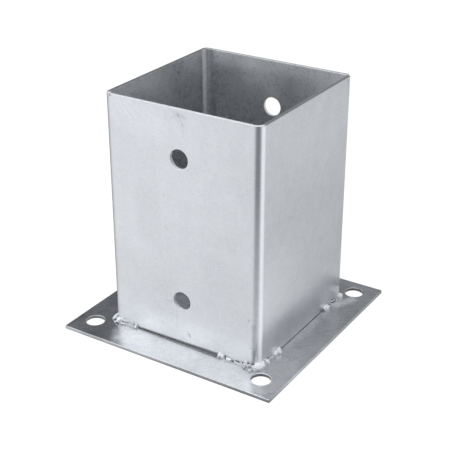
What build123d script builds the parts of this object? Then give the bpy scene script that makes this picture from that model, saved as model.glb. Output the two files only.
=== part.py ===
from build123d import *
import math
import os

# Bolt-down base for a square timber post: a folded steel sleeve welded at its corners to a flat plate.
# Lengths are in millimetres and +Z is up. The origin is the middle of the plate's underside.
# The sleeve's punched walls face -Y (front) and +Y (back), and its open seam is at the +X +Y corner.

# The post, and the sheet that is folded round it, more tightly at the back corner than at the other two
post_side = 100.0
post_clearance = 0.5
sheet = 2.0
bend_inside_radius = 3.0
back_bend_inside_radius = 1.2
sleeve_height = 150.8
seam_gap = 0.3

# Where the sleeve was tacked down, from the middle of the plate
sleeve_shift_x = 0.8
sleeve_shift_y = 1.3

# Drain slits between the corner feet, and how high each one is
foot_length = 18.0
front_slit_at_left = 0.7
front_slit_at_right = 1.6
side_slit = 0.4
back_slit = 0.8

# Cross bolts through the front and back walls
cross_hole_diameter = 12.0
cross_hole_below_rim = 30.0
cross_hole_above_foot = 29.5
cross_hole_shift_x = -0.8

# Base plate and its anchor holes
plate_length = 148.0
plate_width = 147.0
plate_thickness = 2.0
plate_corner_radius = 0.4
anchor_hole_diameter = 12.0
anchor_inset_x = 13.2
anchor_inset_y = 13.8
anchor_shift_x = -1.1
anchor_shift_y = 1.3

# The soft edge that shears and punches leave on the sheet
rolled_edge = 0.35

# Corner welds are thin uneven beads with larger drops of metal along them
weld_leg = 1.7
weld_drop_reach = 2.2
weld_end_taper = 0.6
weld_section_pitch = 1.2
weld_bulge = 0.6

# Each weld's leg where it turns its corner
front_corner_leg = 3.4
left_corner_leg = 3.2
back_corner_leg = 3.0
right_corner_leg = 2.4

# How far each bead runs from its corner: along the front or back wall, and along the side wall
front_corner_runs = (28.0, 26.5)
left_corner_runs = (18.5, 12.0)
back_corner_runs = (21.0, 17.0)
right_corner_runs = (22.0, 26.0)

# The drops on those two runs, each as (distance from the corner, leg there)
front_corner_drops = (((8.0, 3.3), (25.8, 2.4)), ((10.6, 2.4), (22.5, 3.3)))
left_corner_drops = (((14.8, 2.6),), ((8.5, 2.2),))
back_corner_drops = (((11.0, 2.8), (18.0, 2.4)), ((13.0, 2.6),))
right_corner_drops = (((10.0, 2.6), (18.5, 2.8)), ((12.0, 2.0), (20.0, 2.6), (24.2, 2.6)))

# Worked out from the sizes above
inside = post_side + 2 * post_clearance
outside = inside + 2 * sheet
bend_outside_radius = bend_inside_radius + sheet
back_bend_outside_radius = back_bend_inside_radius + sheet
plate_top = plate_thickness
rim = plate_top + sleeve_height
wall_left = sleeve_shift_x - outside / 2
wall_right = sleeve_shift_x + outside / 2
wall_front = sleeve_shift_y - outside / 2
wall_back = sleeve_shift_y + outside / 2
cross_hole_x = sleeve_shift_x + cross_hole_shift_x
cross_hole_heights = (plate_top + cross_hole_above_foot, rim - cross_hole_below_rim)
anchor_spacing_x = plate_length - 2 * anchor_inset_x
anchor_spacing_y = plate_width - 2 * anchor_inset_y


def strip_line(depth):
    """The folded strip's outline, depth inside its outer face, from the end on the +X wall round to +Y."""
    right_wall_end = wall_back - sheet - seam_gap
    back_wall_end = wall_right - sheet
    left, right = wall_left + depth, wall_right - depth
    front, back = wall_front + depth, wall_back - depth
    corners = [(right, right_wall_end), (right, front), (left, front), (left, back), (back_wall_end, back)]
    bends = (bend_outside_radius, bend_outside_radius, back_bend_outside_radius)
    return FilletPolyline(*corners, radius=[bend - depth for bend in bends])


def folded_strip():
    """Sheet bent at three corners, with its two ends edge to edge at the fourth."""
    outer, inner = strip_line(0), strip_line(sheet)
    section = make_face([outer, inner, Line(outer @ 0, inner @ 0), Line(outer @ 1, inner @ 1)])
    return Pos(0, 0, plate_top) * extrude(section, sleeve_height)


def drain_slits():
    """Wedges that open a slit under each wall, between its two corner feet."""
    half = outside / 2 - foot_length
    heights = (
        (front_slit_at_left, front_slit_at_right),
        (side_slit, side_slit),
        (back_slit, back_slit),
        (side_slit, side_slit),
    )
    slits = []
    for turn, (start, end) in enumerate(heights):
        side_view = Polyline((-half, 0), (half, 0), (half, end), (-half, start), close=True)
        wedge = extrude(Plane.XZ * make_face(side_view), sheet, both=True)
        on_wall = Rot(0, 0, 90 * turn) * Pos(0, -outside / 2, 0) * wedge
        slits.append(Pos(sleeve_shift_x, sleeve_shift_y, plate_top) * on_wall)
    return slits


def cross_holes():
    """Punches through the front and back walls, one above the other."""
    punch = Rot(90, 0, 0) * Cylinder(cross_hole_diameter / 2, outside + 2 * sheet)
    return [Pos(cross_hole_x, sleeve_shift_y, height) * punch for height in cross_hole_heights]


def lies_across(edge, axis, value):
    """Whether all of an edge lies in the plane where that axis has that value."""
    box = edge.bounding_box()
    low, high = getattr(box.min, axis), getattr(box.max, axis)
    return abs(low - value) < 0.01 and abs(high - value) < 0.01


def post_sleeve():
    """Folded sleeve with its slits, its bolt holes and its rolled edges."""
    sleeve = folded_strip() - drain_slits() - cross_holes()
    top_edges = [edge for edge in sleeve.edges() if lies_across(edge, "Z", rim)]
    sleeve = fillet(top_edges, rolled_edge)
    mouths = [
        edge
        for edge in sleeve.edges().filter_by(GeomType.CIRCLE)
        if lies_across(edge, "Y", wall_front) or lies_across(edge, "Y", wall_back)
    ]
    return fillet(mouths, rolled_edge)


def base_plate():
    """Sheared plate with four anchor holes, rolled over on its upper edges."""
    outline = RectangleRounded(plate_length, plate_width, plate_corner_radius)
    holes = GridLocations(anchor_spacing_x, anchor_spacing_y, 2, 2) * Circle(anchor_hole_diameter / 2)
    outline -= [Pos(anchor_shift_x, anchor_shift_y) * hole for hole in holes]
    plate = extrude(outline, plate_thickness)
    return fillet(plate.edges().group_by(Axis.Z)[-1], rolled_edge)


def bead_section(inner, leg):
    """Rounded fillet section on the XZ plane, with the wall at x = inner and the plate's top at z = 0."""
    outer_edge = ThreePointArc((inner, leg), (inner + leg * weld_bulge, leg * weld_bulge), (inner + leg, 0))
    base = Polyline((inner + leg, 0), (inner, 0), (inner, leg))
    return Plane.XZ * make_face([outer_edge, base])


def bead_leg(distance, run, drops):
    """Leg of the bead at a distance from its corner."""
    leg = weld_leg
    for place, drop_leg in drops:
        swell = math.exp(-(((distance - place) / weld_drop_reach) ** 2))
        leg = max(leg, weld_leg + (drop_leg - weld_leg) * swell)
    return leg * min(1, weld_end_taper + (run - distance) / weld_drop_reach)


def straight_bead(run, turn_radius, corner_leg, drops):
    """Uneven bead along +Y on a wall that faces +X, from the origin, where the corner's turn ends."""
    length = run - turn_radius
    pieces = round(length / weld_section_pitch)
    all_drops = ((turn_radius, corner_leg), *drops)
    sections = [bead_section(0, corner_leg)]
    for number in range(1, pieces + 1):
        along = length * number / pieces
        leg = bead_leg(turn_radius + along, run, all_drops)
        sections.append(Pos(0, along, 0) * bead_section(0, leg))
    return loft(sections, ruled=True)


def corner_weld(side_x, side_y, turn_radius, leg, runs, drops):
    """Bead that wraps one corner of the sleeve: a turned corner between two straight beads."""
    beads = [straight_bead(run, turn_radius, leg, on_run) for run, on_run in zip(runs, drops)]
    turned = revolve(bead_section(turn_radius, leg), Axis.Z, 90)
    along_x_wall = Rot(0, 0, 90) * Pos(turn_radius, 0, 0) * beads[0]
    along_y_wall = Pos(turn_radius, 0, 0) * mirror(beads[1], Plane.XZ)
    bead = turned + along_x_wall + along_y_wall
    if side_x < 0:
        bead = mirror(bead, Plane.YZ)
    if side_y < 0:
        bead = mirror(bead, Plane.XZ)
    axis_x = sleeve_shift_x + side_x * (outside / 2 - turn_radius)
    axis_y = sleeve_shift_y + side_y * (outside / 2 - turn_radius)
    return Pos(axis_x, axis_y, plate_top) * bead


def seam_weld():
    """Weld round the open seam, with the metal that fills the groove between the strip's two ends."""
    groove = sheet + seam_gap
    filling = Box(sheet, groove, weld_leg, align=(Align.MIN, Align.MIN, Align.MIN))
    filling = Pos(wall_right - sheet, wall_back - groove, plate_top) * filling
    return corner_weld(1, 1, sheet, right_corner_leg, right_corner_runs, right_corner_drops) + filling


def main():
    os.makedirs("parts", exist_ok=True)
    parts = {
        "base_plate": base_plate(),
        "post_sleeve": post_sleeve(),
        "weld_front_corner": corner_weld(
            1, -1, bend_outside_radius, front_corner_leg, front_corner_runs, front_corner_drops
        ),
        "weld_left_corner": corner_weld(
            -1, -1, bend_outside_radius, left_corner_leg, left_corner_runs, left_corner_drops
        ),
        "weld_back_corner": corner_weld(
            -1, 1, back_bend_outside_radius, back_corner_leg, back_corner_runs, back_corner_drops
        ),
        "weld_right_corner": seam_weld(),
    }
    for name, part in parts.items():
        export_step(part, f"parts/{name}.step")


main()
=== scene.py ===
import math

import bmesh
import bpy
from mathutils import Matrix, Vector, noise


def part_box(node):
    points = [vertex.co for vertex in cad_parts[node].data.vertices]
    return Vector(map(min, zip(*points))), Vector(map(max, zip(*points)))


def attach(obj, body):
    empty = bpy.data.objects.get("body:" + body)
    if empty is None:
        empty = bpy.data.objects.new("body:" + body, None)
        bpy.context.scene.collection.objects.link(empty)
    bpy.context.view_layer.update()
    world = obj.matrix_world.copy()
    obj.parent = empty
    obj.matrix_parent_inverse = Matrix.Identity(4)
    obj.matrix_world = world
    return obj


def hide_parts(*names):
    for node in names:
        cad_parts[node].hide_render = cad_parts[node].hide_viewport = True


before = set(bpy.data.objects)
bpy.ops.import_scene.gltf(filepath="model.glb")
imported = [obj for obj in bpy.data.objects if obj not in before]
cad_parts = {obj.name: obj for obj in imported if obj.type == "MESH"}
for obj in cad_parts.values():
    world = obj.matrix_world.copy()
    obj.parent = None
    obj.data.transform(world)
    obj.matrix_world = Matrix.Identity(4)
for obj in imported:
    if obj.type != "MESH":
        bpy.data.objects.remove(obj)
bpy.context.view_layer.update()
bpy.context.scene.view_settings.view_transform = "Standard"

# The frame is in metres. The sizes below are in millimetres, as on the part's drawing.
MM = 0.001
sheet = 2.0
bend_radius = 5.0
back_bend_radius = 3.2
seam_gap = 0.3
rolled_edge = 0.35
hole_radius = 6.0
cross_hole_shift_x = -0.8
cross_hole_above_foot = 29.5
cross_hole_below_rim = 30.0
anchor_inset_x, anchor_inset_y = 13.2, 13.8
anchor_shift_x, anchor_shift_y = -1.1, 1.3
foot_length = 18.0
front_slit_at_left, front_slit_at_right = 0.7, 1.6

# Worked out from the frame and the sizes above
sleeve_low, sleeve_high = (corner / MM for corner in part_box("post_sleeve"))
_, plate_high = (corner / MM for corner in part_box("base_plate"))
plate_top = plate_high.z
wall_left, wall_front = sleeve_low.x, sleeve_low.y
wall_right, wall_back = sleeve_high.x, sleeve_high.y
rim = sleeve_high.z
middle_x, middle_y = (wall_left + wall_right) / 2, (wall_front + wall_back) / 2
half_outside = (wall_right - wall_left) / 2
slit_half = half_outside - foot_length
cross_hole_x = middle_x + cross_hole_shift_x
cross_hole_heights = (plate_top + cross_hole_above_foot, rim - cross_hole_below_rim)
anchor_x, anchor_y = plate_high.x - anchor_inset_x, plate_high.y - anchor_inset_y
anchor_holes = [
    (anchor_shift_x + side_x * anchor_x, anchor_shift_y + side_y * anchor_y)
    for side_x in (-1, 1)
    for side_y in (-1, 1)
]


def add_camera():
    """The photograph's viewpoint, solved from the part's edges and holes."""
    azimuth, elevation, roll = (math.radians(degrees) for degrees in (32.675, 26.168, -0.078))
    distance, aim_right, aim_up, aim_height = 653.46, -1.874, -12.529, 75.0
    focal_length_px, frame_px = 1064.26, 450
    back = Vector((
        math.sin(azimuth) * math.cos(elevation),
        -math.cos(azimuth) * math.cos(elevation),
        math.sin(elevation),
    ))
    right = Vector((math.cos(azimuth), math.sin(azimuth), 0))
    up = back.cross(right)
    place = back * distance + right * aim_right + up * aim_up + Vector((0, 0, aim_height))
    rolled_right = right * math.cos(roll) + up * math.sin(roll)
    rolled_up = up * math.cos(roll) - right * math.sin(roll)
    data = bpy.data.cameras.new("camera")
    data.sensor_width = 36.0
    data.lens = focal_length_px / frame_px * data.sensor_width
    data.clip_start, data.clip_end = 0.01, 20
    camera = bpy.data.objects.new("camera", data)
    turned = Matrix((rolled_right, rolled_up, back)).transposed().to_4x4()
    camera.matrix_world = Matrix.Translation(place * MM) @ turned
    bpy.context.collection.objects.link(camera)
    bpy.context.scene.camera = camera


class Tree:
    """Short ways to add shader nodes and join them up. A number or a socket will do for each value."""

    def __init__(self, owner):
        owner.use_nodes = True
        self.nodes = owner.node_tree.nodes
        self.links = owner.node_tree.links
        self.nodes.clear()

    def add(self, kind, inputs=None, **settings):
        node = self.nodes.new("ShaderNode" + kind)
        for name, value in settings.items():
            setattr(node, name, value)
        for name, value in (inputs or {}).items():
            self.feed(node.inputs[name], value)
        return node

    def feed(self, socket, value):
        if isinstance(value, bpy.types.NodeSocket):
            self.links.new(value, socket)
        else:
            socket.default_value = value

    def close(self, shader, kind):
        """Makes a shader the output of a material or a world."""
        output = self.add("Output" + kind)
        self.links.new(shader.outputs[0], output.inputs[0])

    def math(self, operation, *values, clamp=False):
        node = self.add("Math", operation=operation, use_clamp=clamp)
        for socket, value in zip(node.inputs, values):
            self.feed(socket, value)
        return node.outputs[0]

    def vector(self, operation, *values, result=0):
        node = self.add("VectorMath", operation=operation)
        for socket, value in zip(node.inputs, values):
            self.feed(socket, value)
        return node.outputs[result]

    def plus(self, *values):
        total = values[0]
        for value in values[1:]:
            total = self.math("ADD", total, value)
        return total

    def minus(self, value, taken):
        return self.math("SUBTRACT", value, taken)

    def times(self, *values):
        product = values[0]
        for value in values[1:]:
            product = self.math("MULTIPLY", product, value)
        return product

    def unsigned(self, value):
        return self.math("ABSOLUTE", value)

    def mixed(self, level, *shares):
        """The level plus each (value, share), multiplied."""
        for value, share in shares:
            level = self.math("MULTIPLY_ADD", value, share, level)
        return level

    def blend(self, factor, low, high):
        """Number between low and high."""
        return self.plus(low, self.times(factor, self.minus(high, low)))

    def dimmed(self, tone, mask, share):
        """The tone, brought down to that share of itself where the mask is 1."""
        return self.times(tone, self.blend(mask, 1.0, share))

    def fade(self, value, start, end, low=0.0, high=1.0):
        """Smooth step from low at start to high at end."""
        given = {"Value": value, "From Min": start, "From Max": end, "To Min": low, "To Max": high}
        return self.add("MapRange", given, interpolation_type="SMOOTHSTEP").outputs[0]

    def split(self, vector):
        return self.add("SeparateXYZ", {"Vector": vector}).outputs

    def scaled(self, vector, factor):
        node = self.add("VectorMath", {"Scale": factor}, operation="SCALE")
        self.feed(node.inputs[0], vector)
        return node.outputs[0]

    def along(self, vector, direction):
        """How far a vector reaches in a direction."""
        return self.vector("DOT_PRODUCT", vector, direction, result=1)

    def length(self, vector):
        return self.vector("LENGTH", vector, result=1)

    def distance(self, place, point):
        return self.length(self.vector("SUBTRACT", place, point))

    def place(self):
        """Place on the part in millimetres."""
        return self.scaled(self.add("NewGeometry").outputs["Position"], 1.0 / MM)

    def noise(self, place, size, detail=3.0):
        """Cloudy numbers from about -0.5 to 0.5, with features of that size in millimetres."""
        settings = {"Vector": place, "Scale": 1.0 / size, "Detail": detail, "Roughness": 0.55}
        return self.minus(self.add("TexNoise", settings).outputs["Fac"], 0.5)

    def streaks(self, place, heading, size):
        """Noise drawn out along that heading."""
        squeeze = 0.82
        heading = Vector(heading).normalized()
        squeezed = self.scaled(tuple(heading * -squeeze), self.along(place, heading))
        return self.noise(self.vector("ADD", place, squeezed), size)

    def specks(self, place, size, share):
        """1 in scattered specks. A higher share leaves fewer of them."""
        return self.fade(self.noise(place, size, 1.0), share, share + 0.04)

    def stroke(self, place, axes, start, end, width):
        """1 on the line from start to end, and 0 beyond that width.

        The two ends are given on the axes of the face that they are drawn on."""
        core = 0.2
        across, up = (Vector(axis) for axis in axes)
        start, end = Vector(start), Vector(end)
        middle, heading = (start + end) / 2, (end - start).normalized()
        side = Vector((-heading.y, heading.x))
        ahead = self.minus(self.along(place, across * heading.x + up * heading.y), middle.dot(heading))
        beyond = self.math("MAXIMUM", self.minus(self.unsigned(ahead), (end - start).length / 2), 0.0)
        aside = self.minus(self.along(place, across * side.x + up * side.y), middle.dot(side))
        square = self.math("MULTIPLY_ADD", aside, aside, self.times(beyond, beyond))
        return self.fade(self.math("SQRT", square), width, width * core)

    def strokes(self, place, axes, marks):
        """How strong the marks on one face are at a place."""
        total = 0.0
        for start, end, width, strength in marks:
            total = self.mixed(total, (self.stroke(place, axes, start, end, width), strength))
        return total

    def cool(self, brightness):
        """White light, and bluer as it gets dimmer."""
        return self.add("CombineColor", {
            "Red": self.plus(self.times(brightness, 0.99), -0.005),
            "Green": brightness,
            "Blue": self.plus(self.times(brightness, 1.02), 0.008),
        }).outputs[0]

    def metal(self, tone, share, gloss, relief, strength, depth):
        """Closes a material in the faintly blue grey of zinc, with a relief of that depth in millimetres."""
        colour = self.add("CombineColor", {
            "Red": self.times(tone, 0.985),
            "Green": tone,
            "Blue": self.times(tone, 1.025),
        })
        bump = self.add("Bump", {"Height": relief, "Strength": strength, "Distance": depth * MM})
        self.close(self.add("BsdfPrincipled", {
            "Base Color": colour.outputs[0],
            "Metallic": share,
            "Roughness": gloss,
            "Normal": bump.outputs[0],
        }), "Material")


def bend_bands(tree, heading):
    """The dark gap and the bright strip beside it, which the front bend mirrors as its two bands."""
    toward_gap, toward_strip = (0.60, -0.80, 0.0), (0.985, 0.17, 0.0)
    gap = tree.fade(tree.along(heading, toward_gap), 0.62, 0.98)
    strip = tree.fade(tree.along(heading, toward_strip), 0.74, 0.97)
    return gap, strip


def shine_world():
    """White to the camera. To the metal it is bright in front and overhead, and a dim room behind."""
    ceiling_light, mirrored_ceiling = 2.7, 1.1
    front_light, strip_light, gap_light = 0.95, 0.90, 0.20
    room_left, room_right = 0.10, 0.34
    world = bpy.data.worlds.new("studio")
    bpy.context.scene.world = world
    tree = Tree(world)
    ray = tree.add("LightPath")
    direction = tree.add("TexCoord").outputs["Generated"]
    x, _, z = tree.split(direction)
    toward_front = tree.along(direction, (-0.3, -0.95, 0.0))
    room = tree.fade(x, -0.60, -0.15, room_left, room_right)
    walls = tree.blend(tree.fade(toward_front, -0.45, 0.45), room, front_light)
    heading = tree.vector("NORMALIZE", tree.vector("MULTIPLY", direction, (1.0, 1.0, 0.0)))
    gap, strip = bend_bands(tree, heading)
    low_down = tree.fade(z, 0.75, 0.55)
    walls = tree.blend(tree.times(strip, low_down), walls, strip_light)
    walls = tree.blend(tree.times(gap, low_down), walls, gap_light)
    ceiling = tree.blend(ray.outputs["Is Glossy Ray"], ceiling_light, mirrored_ceiling)
    studio = tree.blend(tree.fade(z, 0.86, 0.98), walls, ceiling)
    level = tree.blend(ray.outputs["Is Camera Ray"], studio, 1.0)
    tree.close(tree.add("Background", {"Color": tree.cool(level), "Strength": 1.0}), "World")


def table_shade(tree, place):
    """How bright the metal sees the table: the lights and darks that the walls and the bends mirror."""
    behind = tree.along(place, (0.25, 0.97, 0.0))
    sideways = tree.along(place, (0.845, -0.534, 0.0))
    in_front = tree.fade(sideways, -15.0, 70.0, 1.05, 0.93)
    at_right = tree.fade(sideways, 18.0, 71.0, 0.95, 1.07)
    shade = tree.fade(behind, -90.0, 110.0, 0.80, 0.60)
    shade = tree.times(shade, tree.blend(tree.fade(behind, -70.0, -50.0), in_front, at_right))

    front_bend = (wall_right - bend_radius, wall_front + bend_radius, 0.0)
    from_bend = tree.vector("SUBTRACT", place, front_bend)
    gap, strip = bend_bands(tree, tree.vector("NORMALIZE", from_bend))
    gap = tree.times(gap, tree.fade(tree.length(from_bend), 20.0, 330.0, 0.38, 1.0))
    shade = tree.dimmed(tree.blend(strip, shade, 0.97), gap, 0.25)

    near_back = tree.distance(place, (120.0, 140.0, 0.0))
    shade = tree.times(shade, tree.fade(near_back, 30.0, 120.0, 0.86, 1.0))

    left_bend = (wall_left + bend_radius, wall_front + bend_radius, 0.0)
    leftward = tree.vector("NORMALIZE", tree.vector("SUBTRACT", place, left_bend))
    beside = tree.fade(tree.along(leftward, (-0.99, 0.1, 0.0)), 0.62, 0.92, 1.0, 0.80)
    past = tree.fade(tree.along(leftward, (-0.64, 0.77, 0.0)), 0.45, 0.85, 1.0, 0.35)
    return tree.times(shade, beside, past)


def table():
    """To the camera it is white, with the part's faint shadow. The metal mirrors its shading."""
    white_level, shadow_share = 0.86, 0.2
    material = bpy.data.materials.new("table")
    tree = Tree(material)
    place = tree.place()
    ray = tree.add("LightPath")
    mirrored = tree.add("Emission", {"Color": tree.cool(table_shade(tree, place)), "Strength": 1.0})
    glow = tree.add("Emission", {"Strength": white_level})
    shadowed = tree.add("BsdfDiffuse", {"Color": (shadow_share, shadow_share, shadow_share, 1)})
    white = tree.add("AddShader")
    tree.links.new(glow.outputs[0], white.inputs[0])
    tree.links.new(shadowed.outputs[0], white.inputs[1])
    pick = tree.add("MixShader", {"Fac": ray.outputs["Is Camera Ray"]})
    tree.links.new(mirrored.outputs[0], pick.inputs[1])
    tree.links.new(white.outputs[0], pick.inputs[2])
    tree.close(pick, "Material")
    return material


def lay_floor():
    half_metres = 3.0
    mesh = bpy.data.meshes.new("floor")
    made = bmesh.new()
    corners = ((-1, -1), (1, -1), (1, 1), (-1, 1))
    made.faces.new([made.verts.new((x * half_metres, y * half_metres, 0)) for x, y in corners])
    made.to_mesh(mesh)
    made.free()
    mesh.materials.append(table())
    floor = bpy.data.objects.new("floor", mesh)
    bpy.context.collection.objects.link(floor)


def add_lamp(name, place, aim, width, height, watts):
    """Rectangular lamp. Its places and sizes are in metres."""
    data = bpy.data.lights.new(name, "AREA")
    data.shape = "RECTANGLE"
    data.size, data.size_y = width, height
    data.energy = watts
    lamp = bpy.data.objects.new(name, data)
    lamp.location = place
    lamp.rotation_mode = "QUATERNION"
    lamp.rotation_quaternion = (Vector(aim) - Vector(place)).to_track_quat("-Z", "Y")
    bpy.context.collection.objects.link(lamp)


# Rubs, scratches, stains and broad clouds, with painted shade and painted highlights where noted: where each
# starts and ends, its width, and how much it darkens the zinc.
# A negative number makes it lighter. On the front wall, the two ends are (x, z).
FRONT_AXES = (1.0, 0.0, 0.0), (0.0, 0.0, 1.0)
FRONT_MARKS = (
    # The scratched patch under the rim
    ((-2.5, 150.6), (3.0, 149.0), 2.6, 0.06), ((-0.2, 150.0), (0.5, 149.2), 1.2, 0.10),
    ((0.4, 148.6), (3.2, 143.8), 1.1, 0.11), ((0.3, 149.0), (-4.2, 147.2), 1.0, 0.07),
    ((1.2, 149.4), (5.6, 147.9), 1.0, 0.07), ((-1.4, 146.6), (0.6, 145.4), 1.2, 0.05),
    ((2.5, 144.5), (3.4, 137.0), 0.9, 0.06),
    # The left corner's dark nicks
    ((-48.4, 154.1), (-46.5, 151.8), 0.8, 0.40), ((-51.6, 151.5), (-50.6, 149.0), 1.3, 0.55),
    ((-50.6, 146.5), (-50.0, 144.4), 1.0, 0.40),
    # Light scratches down from the rim
    ((-45.5, 150.5), (-39.5, 144.0), 0.5, -0.06), ((-42.0, 151.0), (-33.0, 141.5), 0.6, -0.06),
    ((-37.0, 149.5), (-27.0, 141.0), 0.5, -0.05), ((-46.0, 143.0), (-40.0, 134.0), 0.6, -0.05),
    ((-31.0, 148.5), (-20.0, 142.0), 0.5, -0.04), ((-24.0, 147.0), (-12.0, 143.5), 0.5, -0.04),
    # Small dark spots and scratches
    ((-11.2, 98.7), (-11.0, 98.2), 0.9, 0.10), ((-10.6, 78.2), (-9.2, 76.8), 0.8, 0.10),
    ((-8.6, 71.4), (-8.3, 70.8), 0.8, 0.08), ((-11.8, 28.8), (-7.0, 29.3), 0.7, 0.10),
    ((-3.7, 24.5), (-4.0, 11.7), 0.4, 0.08), ((-14.9, 13.2), (-14.0, 12.4), 1.0, 0.09),
    ((3.8, 11.5), (4.6, 10.4), 0.8, 0.12), ((4.8, 10.2), (5.6, 8.6), 0.9, 0.28),
    ((46.7, 33.4), (46.8, 33.1), 0.7, 0.30), ((47.6, 15.4), (48.8, 15.2), 0.6, 0.30),
    ((15.7, 12.9), (29.0, 8.9), 0.5, 0.07), ((15.9, 14.9), (27.5, 9.9), 0.4, 0.06),
    ((-47.0, 60.0), (-46.6, 57.0), 0.8, 0.06), ((-44.5, 33.5), (-43.8, 32.0), 1.0, 0.05),
    # The foot of the front bend
    ((50.2, 30.0), (50.6, 3.0), 2.6, 0.13), ((50.4, 13.0), (50.6, 3.0), 2.4, 0.16),
    # Broad clouds
    ((-44.0, 11.0), (-30.0, 12.0), 13.0, -0.09), ((-24.0, 9.0), (45.0, 7.0), 13.0, -0.02),
    ((-38.0, 146.0), (-22.0, 142.0), 20.0, -0.05), ((10.0, 132.0), (12.0, 108.0), 34.0, -0.025),
    ((-8.0, 50.0), (24.0, 44.0), 30.0, 0.022), ((-42.0, 42.0), (-20.0, 34.0), 26.0, 0.05),
)
DULL_PATCH = ((-23.0, 96.0), (-23.5, 72.0), 13.0, 0.03)

# On the right wall, the two ends are (y, z)
RIGHT_AXES = (0.0, 1.0, 0.0), (0.0, 0.0, 1.0)
RIGHT_MARKS = (
    # Beside the seam
    ((47.9, 151.2), (49.6, 149.2), 0.8, 0.20), ((50.6, 146.0), (50.9, 138.0), 0.5, 0.10),
    # Faint scratches
    ((-30.0, 118.0), (-22.0, 112.0), 0.5, 0.03), ((8.0, 96.0), (20.0, 91.0), 0.5, 0.03),
    ((-8.0, 60.0), (4.0, 57.5), 0.6, 0.03), ((24.0, 44.0), (31.0, 47.0), 0.5, 0.04),
    # Broad clouds. The first, low near the seam, is painted shade at the wall's foot.
    ((20.0, 17.0), (42.0, 7.0), 12.0, 0.08), ((44.0, 110.0), (44.0, 92.0), 20.0, 0.03),
    ((-30.0, 66.0), (34.0, 58.0), 24.0, -0.035), ((0.0, 136.0), (32.0, 130.0), 26.0, -0.025),
    ((-24.0, 14.0), (4.0, 14.0), 14.0, 0.05),
)

# On the plate's top, the two ends are (x, y)
PLATE_AXES = (1.0, 0.0, 0.0), (0.0, 1.0, 0.0)
PLATE_MARKS = (
    # Nicks and scratches along the front edge
    ((61.1, -71.6), (69.8, -71.0), 0.6, 0.25), ((68.9, -70.8), (72.3, -66.5), 0.5, 0.20),
    ((-42.0, -63.5), (-37.0, -64.8), 0.9, 0.06), ((-27.0, -62.0), (-24.5, -62.6), 1.2, 0.10),
    ((-20.5, -66.5), (-12.0, -67.8), 0.5, 0.04), ((2.0, -60.5), (9.0, -61.8), 0.7, 0.05),
    ((20.0, -66.0), (31.0, -67.6), 0.5, 0.05), ((33.0, -62.0), (40.0, -63.0), 0.8, 0.06),
    ((-70.0, -64.0), (-66.0, -70.0), 0.5, 0.10), ((-60.0, -71.0), (-50.0, -69.5), 0.5, 0.08),
    # Scratches at the right
    ((57.5, -40.0), (66.0, -32.0), 0.7, 0.10), ((60.0, -18.0), (68.0, -9.0), 0.6, 0.10),
    ((63.0, 3.0), (70.0, 12.0), 0.8, 0.10), ((66.5, 22.0), (71.0, 30.0), 0.7, 0.08),
    # Broad clouds along the front edge and at the left
    ((-28.0, -66.0), (4.0, -67.0), 20.0, -0.14), ((30.0, -68.0), (52.0, -70.0), 14.0, -0.06),
    ((-56.0, -73.5), (-50.0, -73.5), 9.0, 0.10), ((-66.0, 30.0), (-66.0, 50.0), 14.0, -0.05),
    ((-73.0, -72.0), (-73.0, -58.0), 4.0, 0.12),
    # Broad clouds at the right
    ((66.0, -66.0), (64.0, -44.0), 16.0, -0.22), ((64.0, -40.0), (63.0, -28.0), 14.0, -0.10),
    ((55.0, -20.0), (56.0, 16.0), 5.0, -0.12), ((64.0, 4.0), (64.0, 14.0), 13.0, 0.05),
    # The first mark on this line is a painted highlight streak beside the right hole.
    ((57.5, 40.0), (63.0, 52.0), 6.0, -0.22), ((66.0, 42.0), (70.0, 54.0), 8.0, -0.06),
    ((71.0, 74.0), (73.5, 72.0), 3.0, 0.14), ((66.0, 20.0), (69.0, 34.0), 7.0, -0.06),
)

# Where the plate's top is rubbed, and how much less it mirrors there. The third is not a rub: it makes the
# painted highlight streak beside the right hole mirror less.
PLATE_RUBS_AND_HIGHLIGHT = (
    ((-42.0, -60.0), (-38.5, -66.0), 6.0, 0.34), ((-37.5, -66.0), (-36.5, -72.0), 4.5, 0.20),
    ((57.5, 41.0), (62.5, 51.0), 5.0, 0.30), ((54.8, -20.0), (55.2, 16.0), 2.5, 0.10),
    ((66.0, 60.0), (62.0, 68.0), 9.0, 0.05),
)


class Zinc(Tree):
    """A zinc material's nodes, with the place on the part and the noises that mottle the zinc there."""

    def __init__(self, name, fray, cloud_size, mottle_size):
        self.material = bpy.data.materials.new(name)
        super().__init__(self.material)
        self.spot = self.place()
        self.x, self.y, self.z = self.split(self.spot)
        self.frayed = self.ragged(fray)
        self.cloud = self.noise(self.spot, cloud_size)
        self.mottle = self.noise(self.spot, mottle_size, 4.0)
        self.grain = self.noise(self.spot, 0.9, 2.0)
        self.off = self.off_middle()

    def ragged(self, reach):
        """The place shifted a little here and there, which frays the edge of anything drawn on it."""
        cloud = self.add("TexNoise", {"Vector": self.spot, "Scale": 1.1, "Detail": 2.0}).outputs["Color"]
        shift = self.scaled(self.vector("SUBTRACT", cloud, (0.5, 0.5, 0.5)), reach)
        return self.vector("ADD", self.spot, shift)

    def off_middle(self):
        """Distance from the sleeve's middle line along x or y, whichever is more."""
        from_middle = self.vector("SUBTRACT", self.spot, (middle_x, middle_y, 0.0))
        x, y, _ = self.split(self.vector("ABSOLUTE", from_middle))
        return self.math("MAXIMUM", x, y)

    def near_front(self):
        """1 up to 4 mm behind the front wall's face, and 0 from 8 mm behind it."""
        return self.fade(self.y, wall_front + 8.0, wall_front + 4.0)

    def hole_rings(self, centres, across, reach):
        """1 on each hole's wall, fading out within that reach of it. across drops the holes' direction."""
        total = 0.0
        for centre in centres:
            flat = self.vector("MULTIPLY", self.vector("SUBTRACT", self.spot, centre), across)
            total = self.plus(total, self.fade(self.length(flat), hole_radius + reach, hole_radius + 0.1))
        return total


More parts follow.
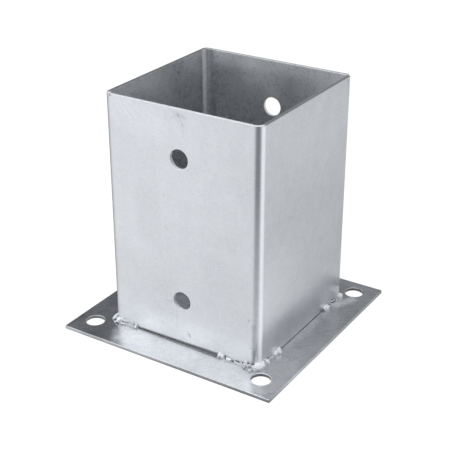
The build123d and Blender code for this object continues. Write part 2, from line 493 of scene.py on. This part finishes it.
def outer_tone(tree, inside, outside, front):
    """The sleeve's brightness: its mottle, the marks on its outer walls, the streaks at its foot, and
    painted light inside.
    """
    x, z = tree.x, tree.z
    rolled = tree.noise(tree.vector("MULTIPLY", tree.spot, (1.0, 1.0, 0.07)), 2.5)
    flakes = tree.noise(tree.spot, 3.2)
    tone = tree.mixed(
        0.845, (tree.cloud, 0.07), (tree.mottle, 0.10), (tree.grain, 0.20), (rolled, 0.05), (flakes, 0.10)
    )
    front_marks = tree.strokes(tree.frayed, FRONT_AXES, FRONT_MARKS)
    tone = tree.minus(tone, tree.times(front, front_marks))
    tone = tree.minus(tone, tree.times(front, tree.strokes(tree.spot, FRONT_AXES, (DULL_PATCH,))))
    right = tree.times(outside, tree.fade(x, wall_right - 1.0, wall_right - 0.5))
    right_marks = tree.strokes(tree.frayed, RIGHT_AXES, RIGHT_MARKS)
    tone = tree.minus(tone, tree.times(right, right_marks))
    specks = tree.specks(tree.spot, 1.1, 0.19)
    tone = tree.minus(tone, tree.times(specks, tree.blend(inside, 0.06, 0.02)))
    near_foot = tree.times(outside, tree.fade(z, 18.0, 2.0))
    foot_specks = tree.specks(tree.spot, 1.6, 0.13)
    streaks = tree.streaks(tree.frayed, (0.9, 0.0, -0.45), 1.8)
    tone = tree.mixed(tone, (near_foot, tree.mixed(0.0, (foot_specks, -0.10), (streaks, 0.20))))
    # Painted light inside: the tone there is lifted by 0.09 and mottled more strongly.
    inside_light_and_cloud = tree.mixed(0.09, (tree.cloud, 0.22), (tree.mottle, 0.20), (tree.grain, 0.60), (flakes, 0.45))
    return tree.mixed(tone, (inside, inside_light_and_cloud))


def bare_and_highlight_share(tree, inside, on_back, edge):
    """Where the sleeve's zinc is painted lighter and mirrors less: painted highlights on its rim, along the
    back corner and on places high up inside, light mottled patches inside, and its bare hole walls.
    """
    x, y, z = tree.x, tree.y, tree.z
    front_edge = tree.times(
        edge,
        tree.fade(y, wall_front + 6.0, wall_front + 2.2),
        tree.fade(x, wall_left + 0.6, wall_left + 2.6),
    )
    centres = [(cross_hole_x, 0.0, height) for height in cross_hole_heights]
    rings = tree.hole_rings(centres, (1.0, 0.0, 1.0), rolled_edge)

    back_corner = (wall_left + sheet, wall_back - sheet, 0.0)
    from_corner = tree.vector("SUBTRACT", tree.spot, back_corner)
    from_corner = tree.length(tree.vector("MULTIPLY", from_corner, (1.0, 1.0, 0.0)))
    corner_line = tree.times(
        inside,
        tree.fade(from_corner, 5.2, 3.2),
        tree.fade(x, wall_left + 2.8, wall_left + 2.3),
        tree.fade(z, rim - 90.0, rim, 0.45, 1.0),
    )
    under_rim = tree.times(
        on_back,
        tree.fade(z, rim - 13.0, rim - 3.0),
        tree.fade(x, wall_left + 4.0, wall_left + 12.0),
        tree.fade(x, 45.0, 5.0, 0.3, 1.0),
    )
    near_seam = tree.times(
        inside,
        tree.fade(y, wall_back - 3.5, wall_back - 2.5),
        tree.fade(x, 5.0, 50.0),
        tree.fade(z, rim - 75.0, rim),
    )
    beside_front = tree.times(
        inside,
        tree.fade(x, wall_left + 3.6, wall_left + 2.6),
        tree.fade(y, wall_front + 50.0, wall_front + 8.0),
        tree.fade(z, rim - 45.0, rim),
    )
    back_cloud = tree.stroke(tree.frayed, FRONT_AXES, (-16.0, 143.0), (0.0, 138.0), 13.0)
    left_cloud = tree.stroke(tree.frayed, RIGHT_AXES, (30.0, 149.0), (44.0, 146.0), 12.0)
    on_left = tree.times(inside, tree.fade(x, wall_left + 3.0, wall_left + 2.4))
    clouds = tree.plus(tree.times(on_back, back_cloud), tree.times(on_left, left_cloud))
    bare = tree.mixed(
        tree.plus(front_edge, corner_line),
        (clouds, tree.mixed(0.20, (tree.mottle, 0.5))),
        (rings, 0.9),
        (edge, 0.12),
        (near_seam, 0.36),
        (under_rim, 0.34),
        (beside_front, 0.30),
    )
    return tree.math("ADD", bare, 0.0, clamp=True)


def painted_edge_shade(tree, tone, outside, front, edge):
    """The sleeve's tone, with painted shade at the rim's two sides, over the slit, underneath and at the
    left bend.
    """
    x, y, z = tree.x, tree.y, tree.z
    right_edge = tree.times(
        tree.fade(z, rim - 0.9, rim - 0.5),
        tree.fade(x, wall_right - 1.1, wall_right - 0.6),
        tree.fade(y, wall_front + 1.0, wall_front + 8.0),
    )
    tone = tree.dimmed(tone, right_edge, 0.6)
    left_edge = tree.times(
        edge,
        tree.fade(x, wall_left + 2.6, wall_left + 2.0),
        tree.fade(y, wall_front + 1.0, wall_front + 4.0),
    )
    tone = tree.dimmed(tone, left_edge, 0.58)

    slit_middle = (front_slit_at_left + front_slit_at_right) / 2
    slit_slope = (front_slit_at_right - front_slit_at_left) / (2 * slit_half)
    slit_top = tree.mixed(plate_top + slit_middle - middle_x * slit_slope, (x, slit_slope))
    over_slit = tree.times(
        front,
        tree.fade(tree.minus(z, slit_top), 1.0, 0.5),
        tree.fade(tree.unsigned(x), slit_half - 0.5, slit_half - 3.0),
    )
    tone = tree.dimmed(tone, over_slit, 0.42)
    _, _, facing = tree.split(tree.add("NewGeometry").outputs["Normal"])
    underneath = tree.fade(facing, -0.3, -0.7)
    tone = tree.dimmed(tone, tree.times(underneath, tree.near_front()), 0.55)

    left_bend = tree.times(
        outside,
        tree.fade(x, wall_left + 1.8, wall_left + 0.3),
        tree.fade(z, 60.0, 110.0),
    )
    return tree.dimmed(tone, left_bend, 0.86)


def sleeve_zinc():
    """Satin zinc on the folded sleeve: mottled and cloudy inside, with painted highlights on its rim and
    inside, and painted shade along its edges, deep inside and at the left bend.
    """
    tree = Zinc("sleeve_zinc", fray=1.4, cloud_size=32.0, mottle_size=9.0)
    inside = tree.fade(tree.off, half_outside - 1.5, half_outside - 1.9)
    outside = tree.minus(1.0, inside)
    front = tree.fade(tree.y, wall_front + 1.0, wall_front + 0.5)
    on_back = tree.times(inside, tree.fade(tree.y, wall_back - 3.2, wall_back - 2.4))
    edge = tree.fade(tree.z, rim - 0.45, rim - 0.1)

    tone = outer_tone(tree, inside, outside, front)
    # Painted shade: darker deep inside the sleeve, and on the inner back wall beside its left corner.
    deep_shade = tree.times(inside, tree.fade(tree.z, rim - 6.0, rim - 50.0))
    tone = tree.dimmed(tone, deep_shade, 0.92)
    corner_shade = tree.times(on_back, tree.fade(tree.x, wall_left + 12.0, wall_left + 5.0))
    tone = tree.dimmed(tone, corner_shade, 0.74)
    # Painted highlights, and the bare hole walls: the tone is made lighter and the zinc mirrors less there.
    bare = bare_and_highlight_share(tree, inside, on_back, edge)
    tone = tree.math("ADD", tone, tree.times(bare, 0.10), clamp=True)
    # Painted shade at the rim's sides, over the slit, underneath and at the left bend.
    tone = painted_edge_shade(tree, tone, outside, front, edge)

    share = tree.mixed(1.0, (bare, -0.8), (inside, -0.09))
    gloss = tree.mixed(0.29, (tree.mottle, 0.10), (tree.cloud, 0.06), (bare, 0.10))
    tree.metal(tone, share, gloss, tree.grain, strength=0.06, depth=0.2)
    return tree.material


def plate_zinc():
    """Satin zinc on the plate, with scratches, stains near the welds, soft sheared edges, painted shade
    under the walls near the front, and a painted highlight streak by the right hole.
    """
    tree = Zinc("plate_zinc", fray=1.6, cloud_size=26.0, mottle_size=7.0)
    x, y, z = tree.x, tree.y, tree.z
    flakes = tree.noise(tree.spot, 2.8)
    streaks = tree.streaks(tree.frayed, (0.9, 0.45, 0.0), 1.8)
    tone = tree.mixed(
        0.79, (tree.cloud, 0.10), (tree.mottle, 0.16), (tree.grain, 0.20), (flakes, 0.12), (streaks, 0.26)
    )
    tone = tree.minus(tone, tree.strokes(tree.frayed, PLATE_AXES, PLATE_MARKS))
    tone = tree.mixed(tone, (tree.specks(tree.spot, 1.3, 0.17), -0.09))

    burnt = 0.0
    for corner_x in (wall_left, wall_right):
        for corner_y in (wall_front, wall_back):
            from_weld = tree.distance(tree.spot, (corner_x, corner_y, plate_top))
            burnt = tree.math("MAXIMUM", burnt, tree.fade(from_weld, 17.0, 5.0))
    tone = tree.minus(tone, tree.times(burnt, tree.mixed(0.05, (tree.mottle, 0.3))))

    # Painted shade on the plate under the walls near the front, seen through the slit.
    shade_under_wall = tree.times(
        tree.fade(tree.off, half_outside - 5.0, half_outside - 3.5),
        tree.fade(tree.off, half_outside, half_outside - 0.8),
        tree.near_front(),
    )
    tone = tree.dimmed(tone, shade_under_wall, 0.75)
    front_lip = tree.times(
        tree.fade(z, plate_top - 0.02, plate_top - 0.12),
        tree.fade(x, -20.0, 10.0),
        tree.fade(y, -70.0, -72.5),
    )
    tone = tree.dimmed(tone, front_lip, 0.70)

    side = tree.fade(z, plate_top - 0.25, plate_top - 0.5)
    from_middle = tree.unsigned(tree.minus(z, plate_top / 2))
    sheared = tree.times(
        tree.fade(from_middle, 0.1, 0.75, 0.66, 0.32),
        tree.fade(x, -62.0, -30.0, 1.25, 0.92),
    )
    centres = [(*centre, 0.0) for centre in anchor_holes]
    rings = tree.hole_rings(centres, (1.0, 1.0, 0.0), rolled_edge - 0.15)
    tone = tree.dimmed(tone, side, sheared)
    tone = tree.dimmed(tone, tree.times(side, rings), 0.42)

    bare = tree.math("MAXIMUM", tree.times(side, 0.3), tree.times(rings, 0.4))
    rubbed_and_lit = tree.strokes(tree.frayed, PLATE_AXES, PLATE_RUBS_AND_HIGHLIGHT)
    in_slit = tree.times(shade_under_wall, tree.fade(x, -30.0, 25.0, 0.55, 0.12))
    wall_foot = tree.times(
        tree.fade(tree.off, half_outside + 2.0, half_outside + 0.5),
        tree.fade(y, wall_front + 0.2, wall_front - 0.2),
        tree.fade(tree.unsigned(x), slit_half - 0.5, slit_half - 3.5),
    )
    dull = tree.mixed(tree.plus(rubbed_and_lit, in_slit), (bare, 0.6), (wall_foot, 0.35))
    share = tree.math("SUBTRACT", 1.0, dull, clamp=True)
    gloss = tree.mixed(0.27, (tree.mottle, 0.14), (tree.cloud, 0.08), (bare, 0.12))
    tree.metal(tone, share, gloss, tree.grain, strength=0.06, depth=0.2)
    return tree.material


def weld_zinc():
    """Zinc over rough weld metal: lighter and less metallic under its painted highlights, and darker under
    its painted shade.
    """
    material = bpy.data.materials.new("weld_zinc")
    tree = Tree(material)
    place = tree.place()
    painted_shade = tree.add("Attribute", attribute_name="painted_shade").outputs["Fac"]
    painted_highlight = tree.add("Attribute", attribute_name="painted_highlight").outputs["Fac"]
    mottle = tree.noise(place, 1.4, 4.0)
    tone = tree.plus(tree.mixed(0.64, (mottle, 0.30)), tree.fade(painted_highlight, 0.0, 0.7, 0.0, 0.40))
    tone = tree.times(tone, tree.fade(painted_shade, 0.25, 0.85, 1.0, 0.12))
    share = tree.fade(painted_highlight, 0.1, 0.8, 0.92, 0.12)
    gloss = tree.mixed(tree.fade(painted_highlight, 0.2, 0.9, 0.45, 0.32), (mottle, 0.2))
    tree.metal(tone, share, gloss, tree.noise(place, 0.6), strength=0.12, depth=0.3)
    return material


def dress(node, material):
    """Gives a carried-over solid its material."""
    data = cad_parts[node].data
    data.materials.clear()
    data.materials.append(material)


class Weld:
    """One corner's weld: a thin bead with drops on it, from the front or back wall round to the side wall.

    Each run and each drop is measured from the corner, a drop being (distance, leg). Marks on the two runs
    are at (distance from the corner, angle up from the plate in degrees). Marks on the bend have the angle
    turned from the front or back wall, in degrees, in place of the distance."""

    # The plain bead's leg, how far a drop swells it to each side, and the share of the leg at the ends
    leg, reach, end_taper = 1.7, 2.2, 0.6
    # Steps up the bead's section, and the distance from one section to the next
    steps_up, pitch = 30, 0.16
    # Length of the rounded ends, and the size of their tips as a share
    end_round, tip_share = 1.2, 0.15
    # How deep the bead's hidden back is sunk in the wall and the plate
    sunk = 0.25
    # Over 1, the section is hollower than a quarter circle
    hollowness = 1.3
    # How fine each of the skin's noises is, and how high as a share of the leg
    roughness = ((0.55, 0.26), (1.3, 0.11), (3.1, 0.02))
    # Share of the leg that is left at the bottom of the deepest pit
    thinnest = 0.2

    def __init__(
        self, side_x, side_y, turn_radius, corner_leg, runs, drops, seed, wall, bend, side, at_seam=False
    ):
        self.side_x, self.side_y = side_x, side_y
        self.at_seam = at_seam
        self.radius = turn_radius
        self.turn = turn_radius * math.pi / 2
        self.start = self.on_wall(runs[0])
        self.end = self.on_side(runs[1])
        self.swells = [(0.0, corner_leg), (self.turn, corner_leg)]
        self.swells += [(self.on_wall(distance), size) for distance, size in drops[0]]
        self.swells += [(self.on_side(distance), size) for distance, size in drops[1]]
        self.corner_leg = corner_leg
        self.seed = Vector((seed, 2.0 * seed, 3.0 * seed))
        self.marks = []
        for along, marks in ((self.on_wall, wall), (self.on_bend, bend), (self.on_side, side)):
            for (start, start_angle), (end, end_angle), width, height, light in marks:
                first = Vector((along(start), math.radians(start_angle)))
                last = Vector((along(end), math.radians(end_angle)))
                self.marks.append((first, last, width, height, light))

    def on_wall(self, distance):
        """Length along the bead's path, from where the bend starts, to a place on the front or back wall."""
        return self.radius - distance

    def on_bend(self, degrees):
        return self.radius * math.radians(degrees)

    def on_side(self, distance):
        return self.turn + distance - self.radius

    def to_end(self, s):
        """Distance to the nearer end of the bead from a length along its path."""
        return min(s - self.start, self.end - s)

    def foot(self, s):
        """The wall's foot at a length along the path, and the way out from the wall there."""
        angle = max(0.0, min(s, self.turn)) / self.radius
        out_x, out_y = math.sin(angle), math.cos(angle)
        x = self.radius * out_x + min(s, 0.0)
        y = self.radius * out_y - max(s - self.turn, 0.0)
        axis_x = (wall_right if self.side_x > 0 else wall_left) - self.side_x * self.radius
        axis_y = (wall_back if self.side_y > 0 else wall_front) - self.side_y * self.radius
        place = Vector((axis_x + self.side_x * x, axis_y + self.side_y * y, plate_top))
        return place, Vector((self.side_x * out_x, self.side_y * out_y, 0.0))

    def leg_at(self, s):
        """Size of the bead, from its drops."""
        leg = self.corner_leg if 0 < s < self.turn else self.leg
        for place, size in self.swells:
            leg = max(leg, self.leg + (size - self.leg) * math.exp(-(((s - place) / self.reach) ** 2)))
        return leg * min(1.0, self.end_taper + self.to_end(s) / self.reach)

    def marked(self, s, angle, leg):
        """Rise of the skin from its marks, and how much painted shade and painted highlight its marks give
        the place.
        """
        rise = painted_shade = painted_highlight = 0.0
        for start, end, width, height, light in self.marks:
            off = Vector((s - start.x, (angle - start.y) * leg))
            run = Vector((end.x - start.x, (end.y - start.y) * leg))
            if run.length_squared > 0:
                share = max(0.0, min(1.0, off.dot(run) / run.length_squared))
                off -= run * share
            amount = math.exp(-off.length_squared / (width * width))
            rise += height * amount
            painted_shade = max(painted_shade, -light * amount)
            painted_highlight = max(painted_highlight, light * amount)
        return rise, painted_shade, painted_highlight

    def surface(self, s, angle):
        """Point of the bead's skin, and its painted shade and painted highlight."""
        leg = self.leg_at(s)
        place, out = self.foot(s)
        where = place + out * leg * math.cos(angle) + Vector((0, 0, leg * math.sin(angle)))
        rough = sum(noise.noise(where * fine + self.seed) * height for fine, height in self.roughness)
        rise, painted_shade, painted_highlight = self.marked(s, angle, leg)
        size = leg * max(self.thinnest, 1.0 + rough + rise / leg)
        outward = max(0.0, math.cos(angle)) ** self.hollowness
        upward = math.sin(angle) ** self.hollowness
        return place + out * size * outward + Vector((0, 0, size * upward)), painted_shade, painted_highlight

    def ring(self, made, painted_shades, painted_highlights, s):
        """Corners of one section: its skin, from the plate up to the wall, then its sunk back."""
        past_round = max(0.0, 1.0 - self.to_end(s) / self.end_round)
        share = self.tip_share + (1.0 - self.tip_share) * math.sqrt(max(0.0, 1.0 - past_round**2))
        place, out = self.foot(s)
        ring = []
        for step in range(self.steps_up + 1):
            point, painted_shade, painted_highlight = self.surface(s, math.pi / 2 * step / self.steps_up)
            vert = made.verts.new((place + (point - place) * share) * MM)
            vert[painted_shades] = painted_shade
            vert[painted_highlights] = painted_highlight
            ring.append(vert)
        toe, top = ring[0].co / MM, ring[-1].co / MM
        inner, down = place - out * self.sunk, Vector((0, 0, self.sunk))
        for spot in (inner + Vector((0, 0, top.z - place.z)), inner - down, toe - down):
            ring.append(made.verts.new(spot * MM))
        return ring

    def build(self, name):
        """The bead as an object, with its painted shade and painted highlights stored for the material."""
        made = bmesh.new()
        painted_shades = made.verts.layers.float.new("painted_shade")
        painted_highlights = made.verts.layers.float.new("painted_highlight")
        length = self.end - self.start
        count = round(length / self.pitch)
        places = [self.start + length * number / count for number in range(count + 1)]
        rings = [self.ring(made, painted_shades, painted_highlights, s) for s in places]
        for first, second in zip(rings, rings[1:]):
            for corner in range(len(first)):
                after = (corner + 1) % len(first)
                made.faces.new((first[corner], first[after], second[after], second[corner]))
        made.faces.new(rings[0])
        made.faces.new(rings[-1])
        if self.at_seam:
            self.fill_seam(made)
        bmesh.ops.recalc_face_normals(made, faces=made.faces)
        mesh = bpy.data.meshes.new(name)
        made.to_mesh(mesh)
        made.free()
        for face in mesh.polygons:
            face.use_smooth = True
        piece = bpy.data.objects.new(name, mesh)
        bpy.context.collection.objects.link(piece)
        return piece

    def fill_seam(self, made):
        """Metal in the groove between the strip's two ends."""
        groove = sheet + seam_gap
        size = Vector((sheet, groove, self.leg))
        middle = Vector((wall_right - sheet / 2, wall_back - groove / 2, plate_top + self.leg / 2))
        bmesh.ops.create_cube(made, matrix=Matrix.LocRotScale(middle * MM, None, size * MM))


def line(distance, degrees, end_distance, end_degrees, width, height, light=None):
    """Ridge, or groove if its height is negative. Its light is over 0 for a painted highlight, and under 0
    for painted shade.
    """
    if light is None:
        light = -1.0 if height < -0.7 else max(0.0, min(1.0, height / 0.8))
    return (distance, degrees), (end_distance, end_degrees), width, height, light


def dot(distance, degrees, width, height, light=None):
    """Round lump, or pit if its height is negative."""
    return line(distance, degrees, distance, degrees, width, height, light)


# Each corner's drops and marks, in millimetres, as the photograph shows them or as its visible ones suggest
WELDS = {
    "weld_front_corner": Weld(
        1, -1, bend_radius, corner_leg=3.4, runs=(28.0, 26.5),
        drops=(((8.0, 3.3), (25.8, 2.4)), ((10.6, 2.4), (22.5, 3.3))), seed=1.7,
        wall=(
            line(27.0, 74, 24.2, 66, 1.0, 0.5, 1.1), line(22.6, 88, 21.8, 25, 0.32, -0.8),
            line(20.8, 50, 18.8, 42, 0.75, 0.5, 0.7), dot(16.9, 38, 0.75, -1.3),
            line(15.2, 84, 12.9, 70, 0.55, -1.2), line(14.6, 15, 11.6, 10, 0.8, 0.2, -0.35),
            line(10.3, 88, 10.0, 62, 0.35, -1.0), dot(8.3, 84, 1.1, 0.9, 0.8), dot(6.2, 80, 0.75, -1.3),
            dot(6.2, 42, 0.6, 0.4, 0.45), dot(4.6, 30, 0.45, -0.4, -0.55), dot(8.2, 40, 0.5, -0.4, -0.5),
            dot(7.4, 15, 0.7, 0.3, 0.3),
        ),
        bend=(
            dot(19, 78, 0.9, -1.5), dot(4, 55, 0.5, 0.4, 0.5), dot(12, 35, 0.45, -0.5, -0.6),
            dot(20, 45, 0.5, 0.4, 0.5), dot(27, 22, 0.6, 0.4, 0.6), line(38, 62, 82, 64, 1.45, 0.7, 1.3),
            dot(38, 46, 0.9, 0.3, 0.9), dot(28, 48, 0.4, -0.6, -0.7),
        ),
        side=(
            line(5.6, 72, 5.2, 38, 0.4, -1.0, -0.8), dot(9.0, 60, 1.2, 0.8, 1.0), dot(11.8, 80, 0.6, -1.2),
            line(11.0, 55, 15.0, 62, 0.45, 0.3, 0.4), dot(14.6, 84, 0.5, -0.5, -0.5),
            line(18.6, 72, 23.2, 62, 1.2, 0.6, 1.1), dot(21.4, 36, 1.0, 0.4, 0.7),
            dot(20.0, 50, 0.35, -0.4, -0.35), dot(22.4, 46, 0.35, -0.4, -0.3),
            line(25.3, 86, 25.0, 8, 0.42, -1.1, -0.8),
        ),
    ),
    "weld_left_corner": Weld(
        -1, -1, bend_radius, corner_leg=3.2, runs=(18.5, 12.0),
        drops=(((14.8, 2.6),), ((8.5, 2.2),)), seed=4.1,
        wall=(
            dot(4.0, 0, 1.0, -0.3, -0.5), dot(4.4, 60, 1.2, 0.4, 1.1), line(5.2, 68, 7.2, 84, 0.8, 0.3, 1.1),
            line(6.8, 50, 10.6, 66, 0.35, -0.9, -0.75), line(7.0, 24, 9.6, 44, 0.4, 0.5, 0.8),
            line(13.5, 20, 13.6, 72, 0.35, 0.5, 0.7), line(17.2, 24, 17.0, 78, 0.4, 0.5, 0.7),
            dot(15.3, 62, 0.45, -0.9, -0.7), dot(15.8, 26, 0.35, -0.6, -0.4),
            dot(12.0, 66, 0.4, -0.5, -0.35),
        ),
        bend=(
            line(55, 0, 60, 88, 0.5, 0.9, 1.0), line(47, 0, 30, 34, 0.5, -1.4),
            line(27, 0, 5, 48, 0.4, 0.6, 0.9), dot(10, 0, 1.5, -0.5, -0.8), dot(82, 40, 2.2, -0.5, -0.9),
            dot(38, 62, 0.6, -0.7, -0.7),
        ),
        side=(dot(8.5, 45, 1.0, 0.5), dot(10.2, 60, 0.5, -0.8)),
    ),
    "weld_back_corner": Weld(
        -1, 1, back_bend_radius, corner_leg=3.0, runs=(21.0, 17.0),
        drops=(((11.0, 2.8), (18.0, 2.4)), ((13.0, 2.6),)), seed=6.3,
        wall=(
            dot(18.0, 45, 1.0, 0.5), dot(15.0, 55, 0.6, -1.2), dot(11.0, 40, 1.1, 0.6),
            dot(8.0, 50, 0.6, -1.1),
        ),
        bend=(dot(45, 60, 1.1, 0.7), dot(15, 30, 0.6, -1.0)),
        side=(dot(9.0, 40, 0.9, 0.4), dot(13.4, 45, 1.1, 0.6), dot(15.4, 55, 0.5, -1.1)),
    ),
    "weld_right_corner": Weld(
        1, 1, sheet, corner_leg=2.4, runs=(22.0, 26.0), at_seam=True,
        drops=(((10.0, 2.6), (18.5, 2.8)), ((12.0, 2.0), (20.0, 2.6), (24.2, 2.6))), seed=8.9,
        wall=(
            dot(18.6, 45, 1.1, 0.5), dot(14.6, 55, 0.6, -1.2), dot(10.4, 40, 1.0, 0.5),
            dot(6.0, 50, 0.6, -1.1),
        ),
        bend=(dot(52, 58, 1.0, -0.5, -0.8),),
        side=(
            dot(23.4, 68, 1.4, 1.0, 1.5), dot(21.2, 40, 1.4, 1.0, 1.6), dot(25.7, 45, 0.45, -0.4, -1.4),
            line(18.8, 62, 16.4, 54, 0.45, -1.0, -0.9), line(14.8, 60, 12.6, 26, 0.4, -0.9, -0.8),
            line(12.6, 26, 8.2, 36, 0.4, -0.9, -0.8), line(11.6, 84, 8.4, 74, 0.45, -1.0, -0.8),
            line(12.8, 60, 9.2, 54, 0.35, 0.3, 0.4), dot(6.4, 68, 0.5, -1.0, -0.8),
            dot(2.9, 40, 1.4, 0.9, 1.2),
        ),
    ),
}


def make_welds():
    """A bead in place of each weld solid."""
    metal = weld_zinc()
    for node, weld in WELDS.items():
        piece = weld.build(node.replace("weld", "bead"))
        piece.data.materials.append(metal)
        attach(piece, "root")
        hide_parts(node)


add_camera()
shine_world()
lay_floor()
add_lamp("key", place=(-0.45, -0.55, 1.3), aim=(0, 0, 0.08), width=0.8, height=0.8, watts=1.2)
dress("base_plate", plate_zinc())
dress("post_sleeve", sleeve_zinc())
make_welds()
